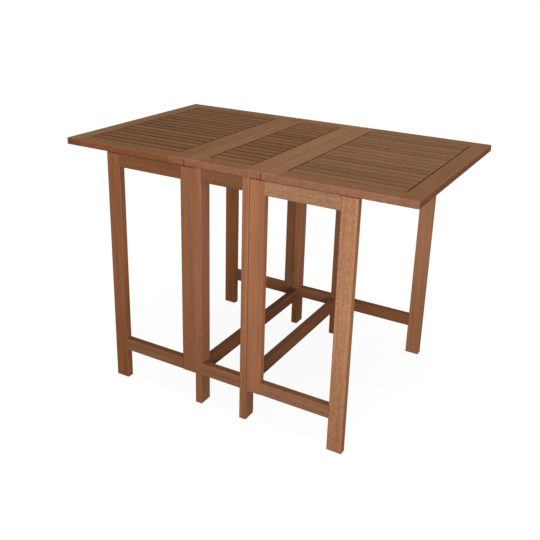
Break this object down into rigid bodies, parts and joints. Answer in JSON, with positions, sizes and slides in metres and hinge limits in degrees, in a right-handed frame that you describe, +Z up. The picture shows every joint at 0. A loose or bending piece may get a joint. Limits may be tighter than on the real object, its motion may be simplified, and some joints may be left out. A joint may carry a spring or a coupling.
{
  "type": "folding dining table",
  "caption": "Drop-leaf gateleg table in hardwood: a narrow fixed slatted panel on a leg frame, two slatted leaves, and swinging gates that carry them.",
  "frame": {"origin": "on the floor, under the middle of the open table", "axes": "+X along the open table's length, to the right as seen from the front; +Y to the rear; +Z up"},
  "size_m": [1.066, 0.65, 0.74],
  "materials": {
    "top_wood": "oiled hardwood",
    "frame_wood": "oiled hardwood",
    "gate_wood": "oiled hardwood",
    "hinge_brass": "aged, satin",
    "screw_steel": "dull"
  },
  "bodies": {
    "centre": {"leg_front_left": "frame_wood", "leg_front_right": "frame_wood", "leg_rear_left": "frame_wood", "leg_rear_right": "frame_wood", "apron_front": "frame_wood", "apron_rear": "frame_wood", "stretcher_front": "frame_wood", "stretcher_rear": "frame_wood", "side_rail_left": "frame_wood", "side_rail_right": "frame_wood", "side_stretcher_left": "frame_wood", "side_stretcher_right": "frame_wood", "centre_stile_left": "top_wood", "centre_stile_right": "top_wood", "centre_rail_front": "top_wood", "centre_rail_rear": "top_wood", "centre_slats": "top_wood", "frame_gate_hinge_leaves": "hinge_brass", "frame_leaf_hinge_leaves": "hinge_brass", "hinge_pins": "hinge_brass", "frame_hinge_screws": "screw_steel", "panel_screws": "screw_steel"},
    "leaf_left": {"leaf_left_stile_left": "top_wood", "leaf_left_stile_right": "top_wood", "leaf_left_rail_front": "top_wood", "leaf_left_rail_rear": "top_wood", "leaf_left_slats": "top_wood", "leaf_left_hinge_leaves": "hinge_brass", "leaf_left_hinge_screws": "screw_steel"},
    "leaf_right": {"leaf_right_stile_left": "top_wood", "leaf_right_stile_right": "top_wood", "leaf_right_rail_front": "top_wood", "leaf_right_rail_rear": "top_wood", "leaf_right_slats": "top_wood", "leaf_right_hinge_leaves": "hinge_brass", "leaf_right_hinge_screws": "screw_steel"},
    "gate_front_left": {"gate_front_left_leg": "gate_wood", "gate_front_left_stile": "gate_wood", "gate_front_left_top_rail": "gate_wood", "gate_front_left_low_rail": "gate_wood", "gate_front_left_hinge_leaves": "hinge_brass", "gate_front_left_hinge_screws": "screw_steel"},
    "gate_front_right": {"gate_front_right_leg": "gate_wood", "gate_front_right_stile": "gate_wood", "gate_front_right_top_rail": "gate_wood", "gate_front_right_low_rail": "gate_wood", "gate_front_right_hinge_leaves": "hinge_brass", "gate_front_right_hinge_screws": "screw_steel"},
    "gate_rear_left": {"gate_rear_left_leg": "gate_wood", "gate_rear_left_stile": "gate_wood", "gate_rear_left_top_rail": "gate_wood", "gate_rear_left_low_rail": "gate_wood", "gate_rear_left_hinge_leaves": "hinge_brass", "gate_rear_left_hinge_screws": "screw_steel"},
    "gate_rear_right": {"gate_rear_right_leg": "gate_wood", "gate_rear_right_stile": "gate_wood", "gate_rear_right_top_rail": "gate_wood", "gate_rear_right_low_rail": "gate_wood", "gate_rear_right_hinge_leaves": "hinge_brass", "gate_rear_right_hinge_screws": "screw_steel"}
  },
  "joints": [
    {"name": "leaf_left_lift", "type": "hinge", "parent": "centre", "child": "leaf_left", "pos_m": [-0.1175, 0, 0.7214], "axis": [0, -1, 0], "range_deg": [-5, 0.35]},
    {"name": "leaf_right_lift", "type": "hinge", "parent": "centre", "child": "leaf_right", "pos_m": [0.1175, 0, 0.7214], "axis": [0, 1, 0], "range_deg": [-5, 0.35]},
    {"name": "gate_front_left_swing", "type": "hinge", "parent": "centre", "child": "gate_front_left", "pos_m": [-0.0893, -0.2982, 0.4], "axis": [0, 0, -1], "range_deg": [0, 90]},
    {"name": "gate_front_right_swing", "type": "hinge", "parent": "centre", "child": "gate_front_right", "pos_m": [0.0893, -0.2982, 0.4], "axis": [0, 0, 1], "range_deg": [0, 90]},
    {"name": "gate_rear_left_swing", "type": "hinge", "parent": "centre", "child": "gate_rear_left", "pos_m": [-0.0893, 0.2982, 0.4], "axis": [0, 0, 1], "range_deg": [0, 90]},
    {"name": "gate_rear_right_swing", "type": "hinge", "parent": "centre", "child": "gate_rear_right", "pos_m": [0.0893, 0.2982, 0.4], "axis": [0, 0, -1], "range_deg": [0, 90]}
  ]
}
